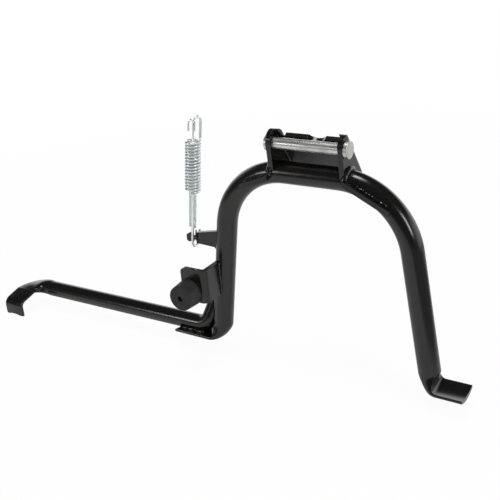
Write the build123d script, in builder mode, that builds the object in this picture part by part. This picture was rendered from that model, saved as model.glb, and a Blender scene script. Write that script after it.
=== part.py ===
from build123d import *
from math import cos, radians, sin, sqrt, tan
import os

# Scooter centre stand. Origin on the middle of the pivot pin, X along the pin
# (right side positive), Y forward on the vehicle, Z up along the leg plane.

# Bent tube frame
tube_od = 22.0
tube_wall = 2.0
roundness = 0.002
leg_splay = 8.26
shoulder_half = 92.4
shoulder_radius = 73.7
top_drop = 30.3
leg_setback = 5.0

# Feet pressed flat from the tube ends and turned outwards
foot_width = 32.0
foot_thickness = 4.6
foot_hollow = 3.8
foot_reach = 177.8
foot_drop = 230.9
foot_root = 130.5
round_end_drop = 186.0

# Pivot pin and its retention
pin_diameter = 11.0
pin_fit = 0.05
pin_head_diameter = 16.6
pin_head_thickness = 3.7
pin_side_gap = 0.2
washer_thickness = 1.6
clip_thickness = 1.2
clip_diameter = 15.0
clip_bore = 9.0
pin_tail = 0.9

# Folded pivot bracket
plate = 5.0
ear_gap = 70.0
ear_radius = 10.6
ear_centre_y = 2.3
ear_centre_z = 2.4
ear_foot_y = -5.0
bracket_drop = 31.4
web_lean = 33.9
fold_radius = 6.0
tongue_half = 29.6
notch_outer = 32.1
tongue_chamfer = 1.6
tongue_top = 7.5
notch_floor = 3.4
scoop_width = 18.4
scoop_depth = 4.0
scoop_offset = 5.4

# Side straps along the shoulders, the right one longer and steeper
right_strap_drop = 26.6
right_strap_angle = 27.2
right_strap_length = 51.8
left_strap_drop = 30.0
left_strap_angle = 20.8
left_strap_length = 35.7
strap_proud = 5.0
strap_width = 6.5

# Spring anchor on the left leg
anchor_thickness = 5.0
anchor_root_x = 112.0
anchor_root_top = 103.7
anchor_root_bottom = 123.6
anchor_end_top = 110.0
anchor_end_bottom = 122.2
neck_inner_x = 142.8
neck_outer_x = 148.6
neck_drop = 117.0
neck_diameter = 5.0
knob_end_x = 155.4
knob_height = 9.2

# Return springs, upright in their own frame with the neck at their foot
spring_axis_x = 149.0
spring_lean = 7.4
outer_wire = 3.0
outer_coil_od = 18.0
outer_pitch = 3.4
outer_start = 55.0
outer_turns = 16
outer_leave_angle = 35.0
outer_bend = 3.0
outer_hook_drop = 2.2
outer_eye_radius = 5.5
outer_eye_height = 130.4
outer_eye_tail = 7.9
inner_wire = 2.0
inner_coil_od = 8.7
inner_pitch = 2.2
inner_start = 12.8
inner_turns = 44
inner_leave_angle = 29.0
inner_eye_angle = 88.0
inner_bend = 2.5
inner_eye_radius = 4.2
inner_eye_height = 127.6
inner_eye_tail = 6.2
hook_end = 7.5

# Rubber buffer and its bracket
buffer_x = 131.4
buffer_drop = 162.6
flange_face_y = -33.0
flange_left = 141.0
flange_right = 110.0
flange_top = 135.5
flange_bottom = 173.0
flange_corner = 5.0
buffer_rear_radius = 15.0
buffer_front_radius = 13.7
buffer_length = 17.5
buffer_round = 1.2
buffer_recess_radius = 3.1
buffer_recess_depth = 5.0
stud_diameter = 5.0
stud_tail = 1.5
nut_across_flats = 8.0
nut_thickness = 4.0
buffer_washer_diameter = 10.0
buffer_washer_thickness = 1.0

# Tread arm on the left foot
arm_od = 19.0
arm_wall = 2.0
arm_top_x = 130.5
arm_top_y = 19.0
arm_top_drop = 187.0
arm_heel_x = 141.6
arm_bend_radius = 15.0
arm_fall = 3.1
arm_round_end = 385.0
tread_x = 416.5
tread_width = 29.0
tread_thickness = 4.8
tread_bend_radius = 17.5
tread_drop = 227.2
tread_slope = 13.5
lip_y = -35.6
lip_radius = 8.0
lip_drop = 250.0
lip_notch_width = 20.0
lip_notch_depth = 1.6

# Weld beads
ear_bead = 3.0
strap_bead = 2.0
plate_bead = 2.0
arm_bead = 3.0

# Values that follow from the sizes above
splay_tan = tan(radians(leg_splay))
tube_r = tube_od / 2
ear_inner = ear_gap / 2
ear_outer = ear_inner + plate
arm_r = arm_od / 2
shoulder_tangent = shoulder_radius * tan(radians((90 - leg_splay) / 2))
arm_drop = foot_drop + foot_hollow - foot_thickness / 2 - arm_r
pin_hole_r = pin_diameter / 2 + pin_fit


def leg_x(drop):
    """Distance of the leg centre line from the middle at a depth below the pin."""
    return shoulder_half + (drop - top_drop) * splay_tan


def pressed_section(plane, width, thickness, hollow=0.0):
    """Outline of a tube somewhere between round and pressed flat, four arcs."""
    half_w, half_t = width / 2, thickness / 2
    corner_x = half_w - half_t * (1 - sqrt(0.5))
    corner_y = half_t * sqrt(0.5)
    with BuildLine(plane) as outline:
        ThreePointArc((-corner_x, corner_y), (0, half_t - hollow), (corner_x, corner_y))
        ThreePointArc((corner_x, corner_y), (half_w, 0), (corner_x, -corner_y))
        ThreePointArc((corner_x, -corner_y), (0, -half_t - hollow), (-corner_x, -corner_y))
        ThreePointArc((-corner_x, -corner_y), (-half_w, 0), (-corner_x, corner_y))
    return Face(outline.wire())


def round_section(plane, diameter):
    """Outline of the tube where it is still round, four arcs as in the pressed outline."""
    return pressed_section(plane, diameter, diameter * (1 - roundness))


def weld_run(start, end, radius):
    """Straight weld bead with rounded ends."""
    with BuildPart() as run:
        with BuildLine() as middle:
            Line(start, end)
        with BuildSketch(Plane(origin=start, z_dir=Vector(*end) - Vector(*start))):
            Circle(radius)
        sweep(path=middle.wire())
        with Locations(start, end):
            Sphere(radius)
    return run.part


# Arch tube
def leg_section(x, drop, angle):
    """Section plane on the right leg; the angle is measured from straight down."""
    return Plane(
        origin=(x, leg_setback, -drop),
        x_dir=(0, 1, 0),
        z_dir=(sin(radians(angle)), 0, -cos(radians(angle))),
    )


def half_arch(radius):
    """Right half of the bent tube at one radius, from the middle to its round end."""
    with BuildPart() as half:
        with BuildLine() as centre_line:
            FilletPolyline(
                (0, leg_setback, -top_drop),
                (shoulder_half, leg_setback, -top_drop),
                (leg_x(round_end_drop), leg_setback, -round_end_drop),
                radius=shoulder_radius,
            )
        middle = Plane(origin=(0, leg_setback, -top_drop), x_dir=(0, 1, 0), z_dir=(1, 0, 0))
        sweep(sections=round_section(middle, 2 * radius), path=centre_line.wire())
    return half.part


foot_root_section = pressed_section(
    leg_section(foot_root, foot_drop, 90), foot_width, foot_thickness, foot_hollow
)
pressed_run = (
    pressed_section(leg_section(leg_x(208) + 2.5, 208, leg_splay), 28, 16),
    pressed_section(leg_section(124.4, 225.2, 45), 31.5, 7.2, 1.8),
    foot_root_section,
)
half_outside = half_arch(tube_r)
half_inside = half_arch(tube_r - tube_wall)

with BuildPart() as arch_solid:
    add(half_outside)
    loft(sections=(arch_solid.faces().sort_by(Axis.Z)[0], *pressed_run))
    extrude(foot_root_section, amount=foot_reach - foot_root)
    mirror(about=Plane.YZ)

with BuildPart() as arch_bore:
    add(half_inside)
    mirror(about=Plane.YZ)

with BuildPart() as arch_tube:
    add(arch_solid)
    add(arch_bore, mode=Mode.SUBTRACT)
arch_tube.part.label = "arch_tube"

# Pivot bracket: two ears and a sloping web folded from one plate
lean_cos = cos(radians(web_lean))
lean_sin = sin(radians(web_lean))
back_foot_y = ear_centre_y + (ear_radius + lean_sin * (ear_centre_z + bracket_drop)) / lean_cos
tongue_reach = (tongue_top + bracket_drop) / lean_cos
notch_reach = (notch_floor + bracket_drop) / lean_cos
scoop_radius = (scoop_width**2 / 4 + scoop_depth**2) / (2 * scoop_depth)
channel_end = Plane(
    origin=(0, back_foot_y, -bracket_drop),
    x_dir=(1, 0, 0),
    z_dir=(0, -lean_sin, lean_cos),
)
web_face = Plane(
    origin=(0, back_foot_y, -bracket_drop),
    x_dir=(1, 0, 0),
    z_dir=(0, -lean_cos, -lean_sin),
)

with BuildPart() as pivot_bracket:
    with BuildSketch(channel_end):
        outer = Rectangle(2 * ear_outer, 2 * ear_outer, align=(Align.CENTER, Align.MAX))
        fillet(outer.vertices().group_by(Axis.Y)[-1], radius=fold_radius)
    extrude(amount=2 * ear_outer, both=True)
    with BuildSketch(channel_end.offset(0)):
        with Locations((0, -plate)):
            inner = Rectangle(ear_gap, 2 * ear_outer, align=(Align.CENTER, Align.MAX))
            fillet(inner.vertices().group_by(Axis.Y)[-1], radius=fold_radius - plate)
    extrude(amount=2 * ear_outer, both=True, mode=Mode.SUBTRACT)
    with BuildSketch(Plane.YZ.offset(-ear_outer)):
        with Locations((ear_centre_y, ear_centre_z)):
            Circle(ear_radius)
        Polygon(
            (ear_centre_y, ear_centre_z),
            (ear_foot_y, -top_drop),
            (ear_foot_y, -bracket_drop),
            (back_foot_y, -bracket_drop),
            align=None,
        )
        make_hull()
    extrude(amount=2 * ear_outer, mode=Mode.INTERSECT)
    with BuildSketch(web_face):
        with Locations((0, notch_reach)):
            Rectangle(2 * notch_outer, ear_outer, align=(Align.CENTER, Align.MIN))
        Polygon(
            (-tongue_half, notch_reach),
            (-tongue_half, tongue_reach - tongue_chamfer),
            (tongue_chamfer - tongue_half, tongue_reach),
            (tongue_half - tongue_chamfer, tongue_reach),
            (tongue_half, tongue_reach - tongue_chamfer),
            (tongue_half, notch_reach),
            align=None,
            mode=Mode.SUBTRACT,
        )
        with Locations((scoop_offset, tongue_reach - scoop_depth + scoop_radius)):
            Circle(scoop_radius)
    extrude(amount=2 * plate, both=True, mode=Mode.SUBTRACT)
    with BuildSketch(Plane.YZ):
        Circle(pin_hole_r)
    extrude(amount=ear_outer, both=True, mode=Mode.SUBTRACT)
    add(arch_solid, mode=Mode.SUBTRACT)
pivot_bracket.part.label = "pivot_bracket"


# Straps beside the ears, on the front of the shoulders
def shoulder_strap(side, drop, angle, length):
    """Flat strap running out from an ear; side is 1 on the right, -1 on the left."""
    run, fall = length * cos(radians(angle)), length * sin(radians(angle))
    under_x, under_z = plate * sin(radians(angle)), plate * cos(radians(angle))
    with BuildPart() as strap:
        with BuildSketch(Plane.XZ.offset(tube_r + strap_proud - leg_setback)):
            Polygon(
                (side * ear_outer, -drop),
                (side * (ear_outer + run), -drop - fall),
                (side * (ear_outer + run - under_x), -drop - fall - under_z),
                (side * ear_outer, -drop - plate / cos(radians(angle))),
                align=None,
            )
        extrude(amount=-strap_width)
        add(arch_solid, mode=Mode.SUBTRACT)
    return strap.part


right_strap_part = shoulder_strap(1, right_strap_drop, right_strap_angle, right_strap_length)
left_strap_part = shoulder_strap(-1, left_strap_drop, left_strap_angle, left_strap_length)

with BuildPart() as strap_right:
    add(right_strap_part)
strap_right.part.label = "strap_right"

with BuildPart() as strap_left:
    add(left_strap_part)
strap_left.part.label = "strap_left"

# Pivot pin with a washer and a spring clip on its left end
washer_face = ear_outer + pin_side_gap
clip_face = washer_face + washer_thickness + pin_side_gap / 2
pin_end = clip_face + clip_thickness + pin_tail

with BuildPart() as pivot_pin:
    with BuildSketch(Plane.YZ.offset(-pin_end)):
        Circle(pin_diameter / 2)
    extrude(amount=pin_end + washer_face)
    chamfer(pivot_pin.edges().group_by(Axis.X)[0], length=pin_tail / 2)
    with BuildSketch(Plane.YZ.offset(washer_face)):
        Circle(pin_head_diameter / 2)
    extrude(amount=pin_head_thickness)
    fillet(pivot_pin.edges().group_by(Axis.X)[-1], radius=pin_head_thickness / 6)
    with BuildSketch(Plane.YZ.offset(-clip_face - clip_thickness - pin_side_gap / 4)):
        Circle(pin_diameter)
        Circle(clip_bore / 2, mode=Mode.SUBTRACT)
    extrude(amount=clip_thickness + pin_side_gap / 2, mode=Mode.SUBTRACT)
pivot_pin.part.label = "pivot_pin"

with BuildPart() as pin_washer:
    with BuildSketch(Plane.YZ.offset(-washer_face)):
        Circle(pin_head_diameter / 2)
        Circle(pin_hole_r, mode=Mode.SUBTRACT)
    extrude(amount=-washer_thickness)
pin_washer.part.label = "pin_washer"

with BuildPart() as pin_clip:
    with BuildSketch(Plane.YZ.offset(-clip_face)):
        Circle(clip_diameter / 2)
        with PolarLocations(clip_diameter * 0.34, 2, start_angle=135, angular_range=90, endpoint=True):
            Circle(clip_diameter / 9, mode=Mode.SUBTRACT)
        with Locations((0, -clip_diameter / 2)):
            Rectangle(clip_bore * 0.9, clip_diameter, mode=Mode.SUBTRACT)
        Circle(clip_bore / 2, mode=Mode.SUBTRACT)
    extrude(amount=-clip_thickness)
pin_clip.part.label = "pin_clip"

# Spring anchor plate with its round neck and end knob
with BuildPart() as spring_anchor:
    with BuildSketch(Plane.XZ.offset(anchor_thickness / 2 - leg_setback)):
        plate_outline = Polygon(
            (-anchor_root_x, -anchor_root_top),
            (-neck_inner_x, -anchor_end_top),
            (-neck_inner_x, -anchor_end_bottom),
            (-anchor_root_x, -anchor_root_bottom),
            align=None,
        )
        fillet(plate_outline.vertices().group_by(Axis.X)[0], radius=1.5)
        with Locations((-(neck_outer_x + knob_end_x) / 2, -neck_drop)):
            RectangleRounded(knob_end_x - neck_outer_x, knob_height, radius=2.8)
    extrude(amount=-anchor_thickness)
    with BuildSketch(Plane.YZ.offset(-neck_outer_x)):
        with Locations((leg_setback, -neck_drop)):
            Circle(neck_diameter / 2)
    extrude(amount=neck_outer_x - neck_inner_x)
    add(arch_solid, mode=Mode.SUBTRACT)
spring_anchor.part.label = "spring_anchor"


# Return springs: round wire, close coils, a hook at the foot and an eye at the head
def wire_bend(start, heading, new_heading, radius):
    """Arc of one radius that turns the wire from one heading to the next."""
    turn = heading.get_angle(new_heading)
    reach = radius * tan(radians(turn / 2))
    return TangentArc(start, start + (heading + new_heading) * reach, tangent=heading)


def spring_wire(wire, coil_od, pitch, start, turns, leave, eye, bend, hook_drop, eye_r, eye_z, eye_tail):
    """One tension spring from the tip of its neck hook to the tip of its head eye."""
    radius = (coil_od - wire) / 2
    down, up = Vector(0, 0, -1), Vector(0, 0, 1)
    height = pitch * (turns + (leave + eye) / 360)
    coil_line = Helix(pitch, height, radius, center=(0, 0, start)).rotate(Axis.Z, -leave)
    with BuildPart() as spring:
        with BuildLine() as wire_path:
            add(coil_line)
            foot = wire_bend(coil_line @ 0, (coil_line % 0) * -1, down, bend)
            shank = foot @ 1
            hook_r = -shank.Y
            hook_z = -hook_drop
            Line(shank, (shank.X, -hook_r, hook_z))
            ThreePointArc((shank.X, -hook_r, hook_z), (shank.X, 0, hook_z - hook_r), (shank.X, hook_r, hook_z))
            Line((shank.X, hook_r, hook_z), (shank.X, hook_r, hook_end))
            head = wire_bend(coil_line @ 1, coil_line % 1, up, bend)
            rise = head @ 1
            Line(rise, (rise.X, rise.Y, eye_z))
            ThreePointArc(
                (rise.X, rise.Y, eye_z),
                (rise.X, rise.Y - eye_r, eye_z + eye_r),
                (rise.X, rise.Y - 2 * eye_r, eye_z),
            )
            Line((rise.X, rise.Y - 2 * eye_r, eye_z), (rise.X, rise.Y - 2 * eye_r, eye_z - eye_tail))
        path = wire_path.wire()
        with BuildSketch(Plane(origin=path @ 0, z_dir=path % 0)):
            RegularPolygon(wire / 2, 8)
        sweep(path=path)
    return spring.part


spring_place = Location((-spring_axis_x, leg_setback, -neck_drop), (0, spring_lean, 0))

outer_upright = spring_wire(
    outer_wire, outer_coil_od, outer_pitch, outer_start, outer_turns, outer_leave_angle,
    outer_leave_angle, outer_bend, outer_hook_drop, outer_eye_radius, outer_eye_height, outer_eye_tail,
)
inner_upright = spring_wire(
    inner_wire, inner_coil_od, inner_pitch, inner_start, inner_turns, inner_leave_angle,
    inner_eye_angle, inner_bend, 0.0, inner_eye_radius, inner_eye_height, inner_eye_tail,
)

with BuildPart() as outer_spring:
    add(outer_upright.moved(spring_place))
outer_spring.part.label = "outer_spring"

with BuildPart() as inner_spring:
    add(inner_upright.moved(spring_place))
inner_spring.part.label = "inner_spring"

# Rubber buffer on its folded bracket
stud_r = stud_diameter / 2
washer_back = flange_face_y + plate + buffer_washer_thickness
nut_back = washer_back + nut_thickness
stud_front = flange_face_y - buffer_length + buffer_recess_depth - stud_tail

with BuildPart() as buffer_bracket:
    with BuildSketch(Plane.XY.offset(-flange_bottom)):
        Polygon(
            (-flange_right, 0),
            (-flange_right, flange_face_y),
            (-flange_left, flange_face_y),
            (-flange_left, flange_face_y + plate),
            (-flange_right - plate, flange_face_y + plate),
            (-flange_right - plate, 0),
            align=None,
        )
    extrude(amount=flange_bottom - flange_top)
    uprights = buffer_bracket.edges().filter_by(Axis.Z)
    fillet(uprights.sort_by_distance((-flange_right, flange_face_y, -buffer_drop))[0], radius=plate + 2)
    inside = (-flange_right - plate, flange_face_y + plate, -buffer_drop)
    uprights = buffer_bracket.edges().filter_by(Axis.Z)
    fillet(uprights.sort_by_distance(inside)[0], radius=2)
    outer_end = buffer_bracket.edges().filter_by(Axis.Y).group_by(Axis.X)[0]
    fillet(outer_end, radius=flange_corner)
    with BuildSketch(Plane.XZ.offset(-flange_face_y)):
        with Locations((-buffer_x, -buffer_drop)):
            Circle(stud_r + pin_side_gap)
    extrude(amount=-plate, mode=Mode.SUBTRACT)
    add(arch_solid, mode=Mode.SUBTRACT)
buffer_bracket.part.label = "buffer_bracket"

with BuildPart() as rubber_buffer:
    with BuildSketch(Plane.XZ.offset(-flange_face_y)):
        with Locations((-buffer_x, -buffer_drop)):
            Circle(buffer_rear_radius)
    with BuildSketch(Plane.XZ.offset(buffer_length - flange_face_y)):
        with Locations((-buffer_x, -buffer_drop)):
            Circle(buffer_front_radius)
    loft()
    fillet(rubber_buffer.edges().group_by(Axis.Y)[0], radius=buffer_round)
    with BuildSketch(Plane.XZ.offset(buffer_length - flange_face_y)):
        with Locations((-buffer_x, -buffer_drop)):
            Circle(buffer_recess_radius)
    extrude(amount=-buffer_recess_depth, mode=Mode.SUBTRACT)
    with BuildSketch(Plane.XZ.offset(-flange_face_y)):
        with Locations((-buffer_x, -buffer_drop)):
            Circle(stud_r)
    extrude(amount=buffer_length, mode=Mode.SUBTRACT)
rubber_buffer.part.label = "rubber_buffer"

with BuildPart() as buffer_stud:
    with BuildSketch(Plane.XZ.offset(-stud_front)):
        with Locations((-buffer_x, -buffer_drop)):
            Circle(stud_r)
    extrude(amount=stud_front - nut_back - stud_tail)
    chamfer(buffer_stud.edges(), length=stud_diameter / 10)
buffer_stud.part.label = "buffer_stud"

with BuildPart() as buffer_washer:
    with BuildSketch(Plane.XZ.offset(-flange_face_y - plate)):
        with Locations((-buffer_x, -buffer_drop)):
            Circle(buffer_washer_diameter / 2)
            Circle(stud_r + pin_side_gap, mode=Mode.SUBTRACT)
    extrude(amount=-buffer_washer_thickness)
buffer_washer.part.label = "buffer_washer"

with BuildPart() as buffer_nut:
    with BuildSketch(Plane.XZ.offset(-washer_back)):
        with Locations((-buffer_x, -buffer_drop)):
            RegularPolygon(nut_across_flats / 2, 6, major_radius=False)
            Circle(stud_r, mode=Mode.SUBTRACT)
    extrude(amount=-nut_thickness)
buffer_nut.part.label = "buffer_nut"


# Tread arm: tube lying in the left foot, turned forward and pressed flat at its end
def arm_drop_at(x):
    """Depth of the arm's middle along its run out from the foot."""
    return arm_drop + arm_fall * (x - arm_heel_x) / (arm_round_end - arm_heel_x)


def corner_plane(turn, drop, dip):
    """Section plane at an angle round the arm's outer corner, dipping forward."""
    centre_x = tread_x - tread_bend_radius
    centre_y = leg_setback - tread_bend_radius
    across = Vector(sin(radians(turn)), -cos(radians(turn)), 0)
    level = Vector(-cos(radians(turn)), -sin(radians(turn)), 0)
    heading = level * cos(radians(dip)) - Vector(0, 0, sin(radians(dip)))
    origin = Vector(-centre_x, centre_y, -drop) - across * tread_bend_radius
    return Plane(origin=origin, x_dir=across, z_dir=heading)


def arm_run(radius):
    """Round length of the arm at one radius, from the leg to where it turns flat."""
    with BuildPart() as run:
        with BuildLine() as middle:
            FilletPolyline(
                (-arm_top_x, arm_top_y, -arm_top_drop),
                (-arm_heel_x, leg_setback, -arm_drop),
                (-arm_round_end, leg_setback, -arm_drop_at(arm_round_end)),
                radius=arm_bend_radius,
            )
        path = middle.wire()
        start = Plane(origin=path @ 0, x_dir=(1, 0, 0), z_dir=path % 0)
        sweep(sections=round_section(start, 2 * radius), path=path)
    return run.part


tread_root = corner_plane(90, tread_drop, tread_slope)
tread_root_section = pressed_section(tread_root, tread_width, tread_thickness)
corner_run = (
    pressed_section(corner_plane(20, arm_drop_at(arm_round_end) + 0.3, 1), 22, 14),
    pressed_section(corner_plane(55, arm_drop_at(arm_round_end) + 0.7, 6), 27, 7.5),
    tread_root_section,
)
arm_outside = arm_run(arm_r)
arm_inside = arm_run(arm_r - arm_wall)

with BuildPart() as arm_solid:
    add(arm_outside)
    loft(sections=(arm_solid.faces().sort_by(Axis.X)[0], *corner_run))
    with BuildLine() as tread_line:
        FilletPolyline(
            tread_root.origin,
            (-tread_x, lip_y, -tread_drop - (tread_root.origin.Y - lip_y) * tan(radians(tread_slope))),
            (-tread_x, lip_y, -lip_drop),
            radius=lip_radius,
        )
    sweep(sections=tread_root_section, path=tread_line.wire())
    with BuildSketch(Plane.XZ.offset(-lip_y)):
        notch_radius = (lip_notch_width**2 / 4 + lip_notch_depth**2) / (2 * lip_notch_depth)
        with Locations((-tread_x, -lip_drop + lip_notch_depth - notch_radius)):
            Circle(notch_radius)
    extrude(amount=tread_thickness, both=True, mode=Mode.SUBTRACT)

with BuildPart() as tread_arm:
    add(arm_solid)
    add(arm_inside, mode=Mode.SUBTRACT)
    add(arch_solid, mode=Mode.SUBTRACT)
tread_arm.part.label = "tread_arm"

# Weld beads
shoulder_sag = shoulder_radius - sqrt(
    shoulder_radius**2 - (ear_outer - (shoulder_half - shoulder_tangent)) ** 2
)
ear_tube_z = -top_drop - shoulder_sag

with BuildPart() as bracket_welds:
    with BuildLine(Plane.YZ.offset(ear_outer)) as ear_seam:
        CenterArc((leg_setback, ear_tube_z), tube_r, start_angle=-4, arc_size=170)
    seam = ear_seam.wire()
    with BuildSketch(Plane(origin=seam @ 0, z_dir=seam % 0)):
        Circle(ear_bead)
    sweep(path=seam)
    with Locations(seam @ 0, seam @ 1):
        Sphere(ear_bead)
    mirror(about=Plane.YZ)
    for neighbour in (arch_solid, pivot_bracket, strap_right, strap_left):
        add(neighbour, mode=Mode.SUBTRACT)
bracket_welds.part.label = "bracket_welds"


def strap_seam(side, drop, angle, near, far):
    """Weld bead along the top of a strap, between two distances out from its ear."""
    ends = []
    for reach in (near, far):
        x = ear_outer + reach * cos(radians(angle))
        ends.append((side * x, strap_seam_y, -drop - reach * sin(radians(angle))))
    return weld_run(ends[0], ends[1], strap_bead)


strap_seam_y = leg_setback - tube_r + strap_bead / 3
right_seam = strap_seam(1, right_strap_drop, right_strap_angle, 14, 44)
left_seam = strap_seam(-1, left_strap_drop, left_strap_angle, 10, 30)

with BuildPart() as strap_welds:
    add(right_seam)
    add(left_seam)
    for neighbour in (arch_solid, strap_right, strap_left):
        add(neighbour, mode=Mode.SUBTRACT)
strap_welds.part.label = "strap_welds"


def leg_seam(y, top, bottom, proud, radius):
    """Weld bead down the left leg at one depth, a little outside its centre line."""
    return weld_run(
        (-leg_x(top) - proud, y, -top), (-leg_x(bottom) - proud, y, -bottom), radius
    )


anchor_face = anchor_thickness / 2
anchor_front_seam = leg_seam(leg_setback - anchor_face, anchor_root_top + 1.5, anchor_root_bottom - 1, tube_r - 0.4, plate_bead)
anchor_rear_seam = leg_seam(leg_setback + anchor_face, anchor_root_top + 1.5, anchor_root_bottom - 1, tube_r - 0.4, plate_bead)

with BuildPart() as anchor_welds:
    add(anchor_front_seam)
    add(anchor_rear_seam)
    for neighbour in (arch_solid, spring_anchor):
        add(neighbour, mode=Mode.SUBTRACT)
anchor_welds.part.label = "anchor_welds"

outer_seam_x, inner_seam_x = -flange_right - plate, -flange_right
bracket_outer_seam = weld_run((outer_seam_x, -3.4, -flange_top - 2), (outer_seam_x, -5.9, -flange_bottom + 2), plate_bead)
bracket_inner_seam = weld_run((inner_seam_x, -5.9, -flange_top - 2), (inner_seam_x, -5.6, -flange_bottom + 2), plate_bead)

with BuildPart() as buffer_bracket_welds:
    add(bracket_outer_seam)
    add(bracket_inner_seam)
    for neighbour in (arch_solid, buffer_bracket):
        add(neighbour, mode=Mode.SUBTRACT)
buffer_bracket_welds.part.label = "buffer_bracket_welds"

leg_rear_seam = weld_run((-120.0, 17.0, -189), (-122.5, 16.5, -199), arm_bead)
leg_front_seam = weld_run((-127.3, 8.6, -189), (-129.2, 5.0, -201), arm_bead)
gutter_z = -foot_drop + foot_thickness / 2 - foot_hollow
foot_front_seam = weld_run((-146, leg_setback - 6, gutter_z + 2), (-171, leg_setback - 6, gutter_z + 2), arm_bead)
foot_rear_seam = weld_run((-146, leg_setback + 6, gutter_z + 2), (-171, leg_setback + 6, gutter_z + 2), arm_bead)

with BuildPart() as arm_welds:
    add(leg_rear_seam)
    add(leg_front_seam)
    add(foot_front_seam)
    add(foot_rear_seam)
    for neighbour in (arch_solid, arm_solid):
        add(neighbour, mode=Mode.SUBTRACT)
arm_welds.part.label = "arm_welds"

os.makedirs("parts", exist_ok=True)
pieces = (
    arch_tube, pivot_bracket, strap_right, strap_left, pivot_pin, pin_washer, pin_clip,
    spring_anchor, outer_spring, inner_spring, buffer_bracket, rubber_buffer, buffer_stud,
    buffer_washer, buffer_nut, tread_arm, bracket_welds, strap_welds, anchor_welds,
    buffer_bracket_welds, arm_welds,
)
for piece in pieces:
    export_step(piece.part, f"parts/{piece.part.label}.step")
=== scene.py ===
import math

import bmesh
import bpy
from bpy.props import FloatProperty, FloatVectorProperty, IntProperty, PointerProperty
from mathutils import Matrix, Vector


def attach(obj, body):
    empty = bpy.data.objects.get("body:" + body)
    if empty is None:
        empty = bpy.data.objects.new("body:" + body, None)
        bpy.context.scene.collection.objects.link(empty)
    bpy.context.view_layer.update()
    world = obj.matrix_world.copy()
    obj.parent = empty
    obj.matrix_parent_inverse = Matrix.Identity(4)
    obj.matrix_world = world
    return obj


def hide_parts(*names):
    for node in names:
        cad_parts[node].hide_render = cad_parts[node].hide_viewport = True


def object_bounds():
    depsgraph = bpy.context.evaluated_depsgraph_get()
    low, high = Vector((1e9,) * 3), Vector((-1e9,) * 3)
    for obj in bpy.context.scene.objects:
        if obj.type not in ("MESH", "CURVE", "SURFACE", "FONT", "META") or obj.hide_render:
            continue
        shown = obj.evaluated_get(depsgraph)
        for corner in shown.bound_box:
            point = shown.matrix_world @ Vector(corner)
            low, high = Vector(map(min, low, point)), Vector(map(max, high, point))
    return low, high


bl_info = {
    "name": "Centre stand dresser",
    "version": (1, 0, 0),
    "blender": (4, 5, 0),
    "location": "View3D > Sidebar > Centre stand",
    "description": "Paint, plating, springs, weld beads and studio for a scooter centre stand",
    "category": "Object",
}

MM = 0.001

# Noise patterns, with scales per metre
PAINT_CLOUDS = {"scale": 22.0, "detail": 3.0}
PAINT_DULL = {"scale": 160.0, "detail": 5.0, "roughness": 0.62}
PAINT_PEEL = {"scale": 420.0, "detail": 1.0}
PAINT_SPECKS = {"scale": 1500.0, "roughness": 0.7}
ZINC_FILM = {"scale": 70.0, "detail": 4.0, "roughness": 0.6}
ZINC_SPOTS = {"scale": 420.0, "detail": 3.0, "roughness": 0.6}
ZINC_MARKS = {"scale": 260.0}
WIRE_MOTTLING = {"scale": 240.0, "detail": 4.0, "roughness": 0.62}
WIRE_MARKS = {"scale": 900.0}
RUBBER_BLOOM = {"scale": 90.0, "detail": 4.0, "roughness": 0.6}
RUBBER_GRAIN = {"scale": 1400.0, "detail": 3.0, "roughness": 0.7}
PAPER_FIBRE = {"scale": 90.0, "detail": 3.0}

# Values of a pattern between which it sets in
WARM_SPAN = (0.52, 0.72)
SPECK_SPAN = (0.70, 0.80)
FILM_SPAN = (0.38, 0.68)
MOTTLING_SPAN = (0.46, 0.74)
BLOOM_SPAN = (0.4, 0.75)

# Marks that run along the pin are stretched over its length, which lies along X
ALONG_PIN = (0.05, 1.0, 1.0)

# Mesh work: distance of doubles, rise of an arc that counts as straight, angles that stay sharp,
# corners of the floor disc
DOUBLES = 0.002 * MM
STRAIGHT = 1e-7
WIRE_CREASE = math.radians(50)
ARCH_CREASE = math.radians(40)

FLOOR_CORNERS = 96

# Camera: sensor in millimetres, near and far ends of its view in metres
SENSOR_WIDTH = 36.0
VIEW_NEAR, VIEW_FAR = 0.01, 20.0

# Soft boxes: places, targets and sizes in metres
LAMPS = {
    "lamp_over": {
        "place": (-0.10, -0.10, 1.30),
        "target": (-0.05, 0.0, -0.1),
        "width": 0.5,
        "height": 0.5,
        "watts": 9.0,
    },
    "lamp_left": {
        "place": (-0.97, -1.20, 0.27),
        "target": (-0.1, 0.0, -0.1),
        "width": 0.30,
        "height": 0.30,
        "watts": 3.0,
    },
    "lamp_right": {
        "place": (1.15, -0.45, 0.35),
        "target": (0.1, 0.0, -0.1),
        "width": 0.25,
        "height": 0.5,
        "watts": 5.0,
    },
}

PAINTED = (
    "pivot_bracket",
    "strap_right",
    "strap_left",
    "spring_anchor",
    "buffer_bracket",
    "tread_arm",
)
WELDS = ("bracket_welds", "strap_welds", "anchor_welds", "buffer_bracket_welds", "arm_welds")

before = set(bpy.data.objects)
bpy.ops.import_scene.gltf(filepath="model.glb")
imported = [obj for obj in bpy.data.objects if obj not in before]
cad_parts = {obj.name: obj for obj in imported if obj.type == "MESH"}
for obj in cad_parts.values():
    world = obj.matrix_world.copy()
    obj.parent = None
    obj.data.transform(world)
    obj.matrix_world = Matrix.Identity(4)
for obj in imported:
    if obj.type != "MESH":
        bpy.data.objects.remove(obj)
cad_box = [list(corner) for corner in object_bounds()]


def length(name, millimetres, description):
    """A size in millimetres, kept as a length property in metres."""
    return FloatProperty(
        name=name, default=millimetres * MM, min=0.0, unit="LENGTH", precision=4, description=description
    )


def angle(name, degrees, description):
    """An angle in degrees, kept as a rotation property."""
    return FloatProperty(
        name=name, default=math.radians(degrees), subtype="ANGLE", description=description
    )


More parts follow.
